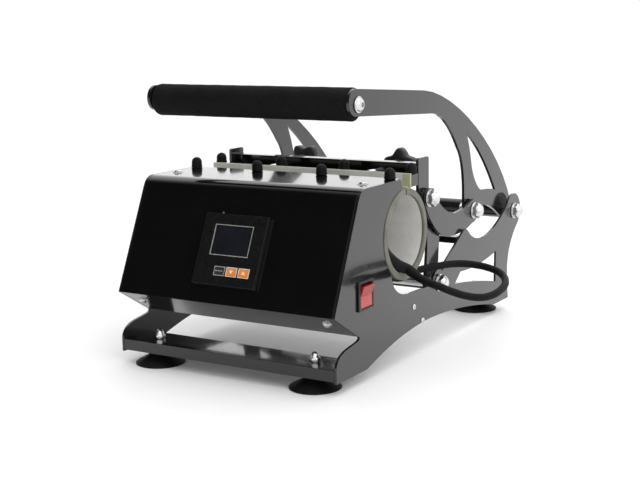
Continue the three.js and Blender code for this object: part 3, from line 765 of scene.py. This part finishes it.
def make_shafts():
    """Each shaft right across the press, with a washer and an acorn nut outside both side plates."""
    for node_name, name in (("handle_pivot_shaft", "handle_shaft"), ("swing_pivot_shaft", "swing_shaft")):
        low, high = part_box(node_name)
        middle = (low + high) / 2
        reach = (high.x - middle.x) / MM
        face = reach - 10.5
        shells = [(plain_rod(ROD_R, -reach + 6, reach - 6), facing(X_AXIS, middle))]
        for sign in SIDES.values():
            where = facing(X_AXIS * sign, middle)
            shells.append((washer(WASHER_R, NUT_START, face), where))
            shells.append((acorn_nut(SHAFT_NUT_FLAT, face + NUT_START, face + 7.0, reach), where))
        add_piece(name, shells, bright_zinc, replaces=[node_name])


def along_bolt(node_name, sign):
    """A bolt's axis from the middle of the press outwards, and the mm along it to its near and far ends."""
    low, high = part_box(node_name)
    middle = (low + high) / 2
    inner, outer = sorted((abs(low.x) / MM, abs(high.x) / MM))
    return facing(X_AXIS * sign, Vector((0, middle.y, middle.z))), inner, outer


def make_link_bolts():
    """The links' bolts and pins with their nuts outside, and the swing plates' pins that meet them."""
    for side, sign in SIDES.items():
        for pivot, body in (("link_bolt", "handle"), ("link_pin", side + "_link")):
            node_name = side + "_" + pivot
            where, inner, outer = along_bolt(node_name, sign)
            face = outer - 11
            shells = [
                (washer(WASHER_R, 1.3, face + 0.3), where),
                (acorn_nut(LINK_NUT_FLAT, face + NUT_START, face + 7.2, outer), where),
                (plain_rod(ROD_R, inner, face + 3), where),
            ]
            if pivot == "link_bolt":
                shells.append((hex_head(HEX_FLAT, inner, inner + 5.7), where))
                shells.append((washer(WASHER_R, 1.4, inner + 9.3), where))
            else:
                shells.append((plain_rod(8.8, inner, inner + 0.4, sides=36), where))
            add_piece(node_name + "_set", shells, bright_zinc, body, [node_name])
        node_name = side + "_swing_pin"
        where, inner, outer = along_bolt(node_name, sign)
        shells = [
            (hex_head(HEX_FLAT, inner, inner + 5.7), where),
            (plain_rod(ROD_R, inner + 2, outer), where),
            (washer(WASHER_R, 0.7, outer - 0.7), where),
        ]
        add_piece(node_name + "_set", shells, bright_zinc, "swing", [node_name])


def make_grip_bolts():
    """Button-head screws with a hexagon socket, one through each arm into the grip tube."""
    socket = hexagon(2.3, 2.6)
    for side, sign in SIDES.items():
        node_name = side + "_grip_bolt"
        where, inner, outer = along_bolt(node_name, sign)
        face = outer - 5
        head = [(face + 1.5, 0), (face + 1.5, 6.4), (face + 2.4, 6.3), (face + 3.6, 5.6), (face + 4.5, 4.4)]
        head += [(face + 5, 3.1), (face + 5, socket), (face + 2.6, socket), (face + 2.4, 0)]
        shank = [(inner, 0), *thread(4, inner, face - 20), (face, 3.6), (face, 0)]
        shells = [
            (washer(7.8, 1.2, face + 0.3), where),
            (turned(head, 36), where),
            (turned(shank, 24), where),
        ]
        add_piece(node_name + "_set", shells, bright_zinc, "handle", [node_name])


# ------------------------------------------------------------------ rubber caps and feet
def make_caps():
    """Domed rubber caps on the clamp screws, four in each row."""
    for row, body in (("front_clamp_cap", "root"), ("rear_clamp_cap", "clamp")):
        for i in range(1, 5):
            node_name = "%s_%d" % (row, i)
            low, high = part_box(node_name)
            middle = (low + high) / 2
            tall = (high.z - low.z) / MM
            where = facing(Z_AXIS, Vector((middle.x, middle.y, low.z)))
            rings = [(0, 0), (0, 5.3), (0.5, 5.8), (1.6, 5.8), (2.1, 5.5), (tall - 5.4, 5.4)]
            rings += dome(5.4, tall - 5.3, tall)
            shells = [(turned(rings, 32), where)]
            add_piece(node_name + "_dome", shells, black_rubber, body, [node_name])


CUP_TOP = 21.7
CUP_RINGS = [
    (3.2, 0), (3.0, 10), (1.4, 18), (0.2, 23.4), (0.0, 24.2), (0.4, 25.0), (1.4, 25.0),
    (2.6, 23.4), (4.4, 19.6), (6.6, 15.4), (8.6, 12.2), (10.4, 10.4), (12.2, 9.5),
    (13.2, 9.8), (14.2, 9.8), (15.0, 9.2), (21.4, 9.0), (CUP_TOP, 8.6), (CUP_TOP, 0),
]
STUD_START = 21.4
STUD_THREAD_R = 3.1
FOOT_BAR_TOP = 24.5


def make_feet():
    """Suction cup on a threaded stud; an acorn nut holds it on the foot bar."""
    for end in ("front", "rear"):
        for side in SIDES:
            node_name = "%s_%s_foot" % (end, side)
            low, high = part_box(node_name)
            middle = (low + high) / 2
            where = facing(Z_AXIS, Vector((middle.x, middle.y, 0)))
            cup = turned(CUP_RINGS, 56)
            add_piece(node_name + "_cup", [(cup, where)], black_rubber, "root", [node_name])
            stud_top = FOOT_BAR_TOP + 3
            stud_rings = [(STUD_START, 0), *thread(STUD_THREAD_R, STUD_START, stud_top), (stud_top, 0)]
            nut = acorn_nut(4.7, FOOT_BAR_TOP + 0.3, FOOT_BAR_TOP + 4.6, FOOT_BAR_TOP + 10)
            shells = [(turned(stud_rings, 28), where), (nut, where)]
            hidden = [node_name + "_nut"] if end == "front" else []
            add_piece(node_name + "_nut_set", shells, bright_zinc, "root", hidden)


# ------------------------------------------------------------------ star knobs
KNOB_LOBES = 5
LOBE_DEPTH = 2.6
KNOB_TALL = 12
KNOB_OFF_CENTRE = 60 * MM
KNOB_BELOW_BAR = 2 * MM


def lobed(size, top):
    """Radius by angle of a knob with a lobe at `top`."""
    return lambda angle: size - LOBE_DEPTH + LOBE_DEPTH * math.cos(KNOB_LOBES * (angle - top))


def make_knobs():
    """Five-lobed knob with a domed edge, a collar, and the screw that pushes the clamp bar."""
    for side, lobe_at in (("right", 90), ("left", 54)):
        node_name = side + "_star_knob"
        body = side + "_knob"
        low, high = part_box(node_name)
        head = (high.y - low.y) / MM - KNOB_TALL
        up = centre("swing_cross_bar").z - KNOB_BELOW_BAR
        where = facing(Y_AXIS, Vector((SIDES[side] * KNOB_OFF_CENTRE, low.y, up)))
        collar = [(head - 6, 0), (head - 6, 7.6), (head - 5.4, 8), (head - 0.2, 8.4)]
        lobe_rings = ((0, 17.2), (0.8, 19), (2.2, 20), (8.6, 20), (10.6, 19), (11.6, 17), (12, 14.6))
        star = [(head + rise, lobed(size, math.radians(lobe_at))) for rise, size in lobe_rings]
        recess = [(head + 12, 7.0), (head + 11.2, 6.2), (head + 11.2, 0)]
        knob = turned(collar + star + recess, 120)
        add_piece(node_name + "_head", [(knob, where)], black_plastic, body, [node_name])
        screw = [(0, 0), (0, 3), *thread(4, 0.6, head - 5.5), (head - 5.5, 0)]
        insert = [(head + 11.0, 0), (head + 11.0, 5.6), (head + 11.7, 5.4)]
        insert += [(head + 11.7, 2.6), (head + 10.9, 2.2), (head + 10.9, 0)]
        shells = [(turned(screw, 28), where), (turned(insert, 28), where)]
        add_piece(node_name + "_screw", shells, bright_zinc, body)


# ------------------------------------------------------------------ grip
GRIP_BORE = 8.3
GRIP_ROLL = 2.8
GRIP_RINGS = 40


def make_grip():
    """Foam sleeve with rolled ends and a slightly uneven skin."""
    low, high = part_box("grip_foam")
    middle = (low + high) / 2
    half = (high.x - middle.x) / MM
    radius = (high.z - low.z) / 2 / MM
    rolled_end = [(0, GRIP_BORE), (0, radius - 2.4), (0.5, radius - 1.1), (1.4, radius - 0.3)]
    rolled_end.append((GRIP_ROLL, radius))
    rings = [(-half + inward, r) for inward, r in rolled_end]
    for i in range(1, GRIP_RINGS):
        along = (-half + GRIP_ROLL) + (2 * half - 2 * GRIP_ROLL) * i / GRIP_RINGS
        sway = 0.12 * math.sin(i * 1.7) + 0.08 * math.sin(i * 0.6)
        rings.append((along, radius - 0.15 + sway * 0.6))
    rings += [(half - inward, r) for inward, r in reversed(rolled_end)]
    shells = [(turned(rings, 48, closed=True), facing(X_AXIS, middle))]
    grip = add_piece("grip_sleeve", shells, grip_foam, "handle", ["grip_foam"])


# ------------------------------------------------------------------ screws of the box and the side plates
PANEL_LEAN = math.atan2(50.6, 110.4)  # the front panel leans back this much
PANEL_UP = Vector((0, math.sin(PANEL_LEAN), math.cos(PANEL_LEAN)))
PANEL_IN = Vector((0, math.cos(PANEL_LEAN), -math.sin(PANEL_LEAN)))
LIP_SLOPE = Vector((0, 43.7, -26.3)).normalized()  # the cover's lip runs back and down
LIP_EDGE_UP = 73.1
TOP_SCREW_OFF_CENTRE = 109
TOP_SCREW_FROM_REAR = 50
LIP_SCREW_OFF_CENTRE = 107
LIP_SCREW_DOWN = 19
PLATE_SCREWS = ((56, 14), (37, 32))  # mm ahead of the swing pivot and below it


def make_box_screws():
    """One screw near each rear corner of the cover's top, and one near each end of its lip."""
    low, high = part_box("box_cover")
    places = []
    for sign in (-1, 1):
        top = Vector((sign * TOP_SCREW_OFF_CENTRE * MM, high.y - TOP_SCREW_FROM_REAR * MM, high.z))
        places.append(facing(Z_AXIS, top))
        edge = Vector((sign * LIP_SCREW_OFF_CENTRE * MM, low.y, LIP_EDGE_UP * MM))
        places.append(facing(LIP_SLOPE.cross(X_AXIS), edge + LIP_SLOPE * LIP_SCREW_DOWN * MM))
    for i, where in enumerate(places):
        shells = [(tooth_washer(4.7, 0.7), where), (screw_head(3.9, 2.2, 0.7), where)]
        add_piece("box_screw_%d" % (i + 1), shells, bright_zinc)


def make_plate_screws():
    """Two small screws low on each side plate."""
    shaft = centre("swing_pivot_shaft")
    for side, sign in SIDES.items():
        low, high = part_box(side + "_side_plate")
        face = high.x if sign > 0 else low.x
        for i, (ahead, down) in enumerate(PLATE_SCREWS):
            where = facing(X_AXIS * sign, Vector((face, shaft.y - ahead * MM, shaft.z - down * MM)))
            shells = [(screw_head(2.9, 1.5), where)]
            add_piece("%s_plate_screw_%d" % (side, i + 1), shells, bright_zinc)


# ------------------------------------------------------------------ controller face
BEZEL_FACE = -5.0  # depths count into the panel
BEZEL_BACK = -0.3
BEZEL_FOOT_UP = 17.5
DISPLAY = (-21.4, 21.2, 47.0, 76.0)  # left, right, bottom, top
LAMP_ACROSS = -20
LAMP_UP = 89
KEYS = {"set_button": -6.6, "left_button": 7.4, "right_button": 21.4}
KEY_UP = 31.2
KEY_HALF_W = 5.1
KEY_HALF_H = 3.5
KEY_FACE = -5.8
PRINT_HALF_THICK = 0.2


OUT_OF_PANEL = Matrix.Rotation(math.radians(90), 4, "X")  # local Z comes out of the panel


def panel_frame():
    """X across, Y into the panel, Z up it, in mm from the panel's bottom corner."""
    low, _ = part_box("controller_bezel")
    foot = PANEL_IN * BEZEL_FACE + PANEL_UP * BEZEL_FOOT_UP
    lowest = PANEL_IN * BEZEL_BACK + PANEL_UP * BEZEL_FOOT_UP
    origin = Vector((0, low.y - foot.y * MM, low.z - lowest.z * MM))
    axes = Matrix((X_AXIS, PANEL_IN, PANEL_UP)).transposed().to_4x4()
    return Matrix.Translation(origin) @ axes @ MILLIMETRES


def outline_bars(x0, x1, z0, z1, wide, y0, y1):
    """Four bars round a rectangle, just outside it."""
    return [
        box((x0 - wide, y0, z0 - wide), (x1 + wide, y1, z0)),
        box((x0 - wide, y0, z1), (x1 + wide, y1, z1 + wide)),
        box((x0 - wide, y0, z0), (x0, y1, z1)),
        box((x1, y0, z0), (x1 + wide, y1, z1)),
    ]


def make_controller_face():
    """Printed rims round the display and the keys, the keys' marks, and a small lamp above the bezel."""
    where = panel_frame()
    proud, sunk = BEZEL_FACE - 0.25, BEZEL_FACE + 0.3
    rim = [(bar, where) for bar in outline_bars(*DISPLAY, 0.65, proud, sunk)]
    add_piece("display_rim", rim, grey_print)
    gap = 0.3
    for name, x in KEYS.items():
        across = (x - KEY_HALF_W - gap, x + KEY_HALF_W + gap)
        up = (KEY_UP - KEY_HALF_H - gap, KEY_UP + KEY_HALF_H + gap)
        bars = outline_bars(*across, *up, 0.8, proud, sunk)
        material = grey_print if name == "set_button" else white_print
        add_piece(name + "_rim", [(bar, where) for bar in bars], material)
    make_key_marks(where)
    lamp = turned([(0, 0), (0, 1.2), (0.5, 1.1), (0.9, 0.7), (1.0, 0)], 20)
    spot = where @ Matrix.Translation((LAMP_ACROSS, 0, LAMP_UP)) @ OUT_OF_PANEL
    add_piece("panel_lamp", [(lamp, spot)], lamp_plastic)


def make_key_marks(where):
    """Plain arrows on the two orange keys and three dashes on the dark one."""
    for name, tip in (("left_button", -1), ("right_button", 1)):
        corners = [(-2.3, -tip * 1.4), (2.3, -tip * 1.4), (0, tip * 2.0)]
        arrow = prism(corners[::tip], -PRINT_HALF_THICK, PRINT_HALF_THICK)
        place = where @ Matrix.Translation((KEYS[name], KEY_FACE, KEY_UP)) @ OUT_OF_PANEL
        add_piece(name + "_arrow", [(arrow, place)], white_print, name)
    dashes = []
    for off in (-3, 0, 3):
        x = KEYS["set_button"] + off
        low_corner = (x - 1, KEY_FACE - PRINT_HALF_THICK, KEY_UP - 0.5)
        high_corner = (x + 1, KEY_FACE + PRINT_HALF_THICK, KEY_UP + 0.5)
        dashes.append(box(low_corner, high_corner))
    add_piece("set_button_marks", [(dash, where) for dash in dashes], grey_print, "set_button")


# ------------------------------------------------------------------ mains inlet
def make_inlet_pins():
    """Three flat pins inside the mains inlet."""
    low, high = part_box("power_inlet")
    middle = (low + high) / 2
    where = Matrix.Translation(Vector((low.x, middle.y, middle.z))) @ MILLIMETRES
    shells = []
    for along, up in ((0, 2.8), (-6.6, -2.4), (6.6, -2.4)):
        shells.append((box((5, along - 1, up - 2), (18.5, along + 1, up + 2)), where))
    add_piece("inlet_pins", shells, pin_brass, edge_mm=0.4)


# ------------------------------------------------------------------ CAD nodes that stay
BARS = ["front_foot_bar", "rear_foot_bar", "rear_clamp_bar", "swing_cross_bar", "mid_cross_bar"]
PLATES = [side + part for side in SIDES for part in ("_side_plate", "_handle_arm", "_link", "_swing_plate")]
CARRIED = {
    black_coat: ["box_cover"] + BARS,
    plate_coat: PLATES + ["box_rear_baffle", "front_clamp_strip", "handle_spacer_tube"],
    black_plastic: ["controller_case", "switch_housing", "power_inlet"],
    bezel_plastic: ["controller_bezel"],
    display_glass: ["controller_display"],
    dark_key: ["set_button"],
    orange_key: ["left_button", "right_button"],
    red_plastic: ["switch_rocker"],
    circuit_green: ["control_board"],
    bright_zinc: ["grip_tube"],
}
PLAIN_EDGE_MM = 0.3
EDGE_MM = {
    "switch_rocker": 0.6,
    "switch_housing": 0.5,
    "controller_bezel": 0.5,
    "controller_display": 0.1,
    "box_cover": 0.35,
}


def dress_cad_nodes():
    """The CAD solids that need no new shape get their material and rounded edges."""
    for material, names in CARRIED.items():
        for name in names:
            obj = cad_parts[name]
            obj.data.materials.clear()
            obj.data.materials.append(material)
            soften(obj, EDGE_MM.get(name, PLAIN_EDGE_MM))


# ------------------------------------------------------------------ floor, light and surroundings
FLOOR_HALF = 30.0
FLOOR_STEPS = 60


def make_floor():
    """Plain pale floor that reaches the horizon."""
    bm = bmesh.new()
    bmesh.ops.create_grid(bm, x_segments=FLOOR_STEPS, y_segments=FLOOR_STEPS, size=FLOOR_HALF)
    mesh = bpy.data.meshes.new("floor")
    bm.to_mesh(mesh)
    bm.free()
    dark, light = srgb(243, 243, 243), srgb(247, 247, 247)
    material, _ = surface("pale_floor", dark, light, (0.6, 0.75), (60, 0.02, 0.1), patch=3)
    mesh.materials.append(material)
    floor = bpy.data.objects.new("floor", mesh)
    scene.collection.objects.link(floor)


DARK_SIDE = Vector((-0.68, -0.58, 0.45)).normalized()
DARK_EDGE = math.radians(52)
DARK_MIDDLE = math.radians(16)
DARK_LEVEL = 0.02
STUDIO_LEVEL = 1.36
BACKDROP_LEVEL = 1.0
WHITE = (1, 1, 1, 1)


def make_world():
    """White studio all round, apart from a dark patch that the front panel mirrors."""
    world = bpy.data.worlds.new("Studio")
    world.use_nodes = True
    world.node_tree.nodes.clear()
    scene.world = world
    way = node(world, "TexCoord").outputs["Generated"]
    toward = node(world, "VectorMath", {0: way, 1: DARK_SIDE}, operation="DOT_PRODUCT")
    shade = node(world, "MapRange", {
        "Value": toward.outputs["Value"],
        "From Min": math.cos(DARK_EDGE),
        "From Max": math.cos(DARK_MIDDLE),
        "To Min": STUDIO_LEVEL,
        "To Max": DARK_LEVEL,
    }, interpolation_type="SMOOTHSTEP")
    studio = node(world, "Background", {"Color": WHITE, "Strength": shade.outputs["Result"]})
    backdrop = node(world, "Background", {"Color": WHITE, "Strength": BACKDROP_LEVEL})
    seen_plainly = node(world, "LightPath").outputs["Is Camera Ray"]
    mix = node(world, "MixShader", {"Fac": seen_plainly, 1: studio.outputs[0], 2: backdrop.outputs[0]})
    node(world, "OutputWorld", {"Surface": mix.outputs[0]})


def add_softbox(name, place, aim, wide, high, watts):
    """A rectangular soft light that faces its aim."""
    data = bpy.data.lights.new(name, "AREA")
    data.shape = "RECTANGLE"
    data.size = wide
    data.size_y = high
    data.energy = watts
    light = bpy.data.objects.new(name, data)
    light.location = place
    light.rotation_mode = "QUATERNION"
    light.rotation_quaternion = (Vector(aim) - Vector(place)).to_track_quat("-Z", "Y")
    scene.collection.objects.link(light)


def make_lights():
    add_softbox("overhead", (0.2, 0.1, 2.2), (0, 0, 0), 1.6, 1.6, 10)
    add_softbox("front_right", (2.2, -1.6, 1.5), (0, 0, 0.1), 0.9, 0.9, 6)


make_gland()
make_heater()
make_cradle()
make_flange()
make_shafts()
make_link_bolts()
make_grip_bolts()
make_caps()
make_feet()
make_knobs()
make_grip()
make_box_screws()
make_plate_screws()
make_controller_face()
make_inlet_pins()
dress_cad_nodes()
make_floor()
make_world()
make_lights()
scene.view_settings.view_transform = "Standard"
scene.view_settings.look = "None"
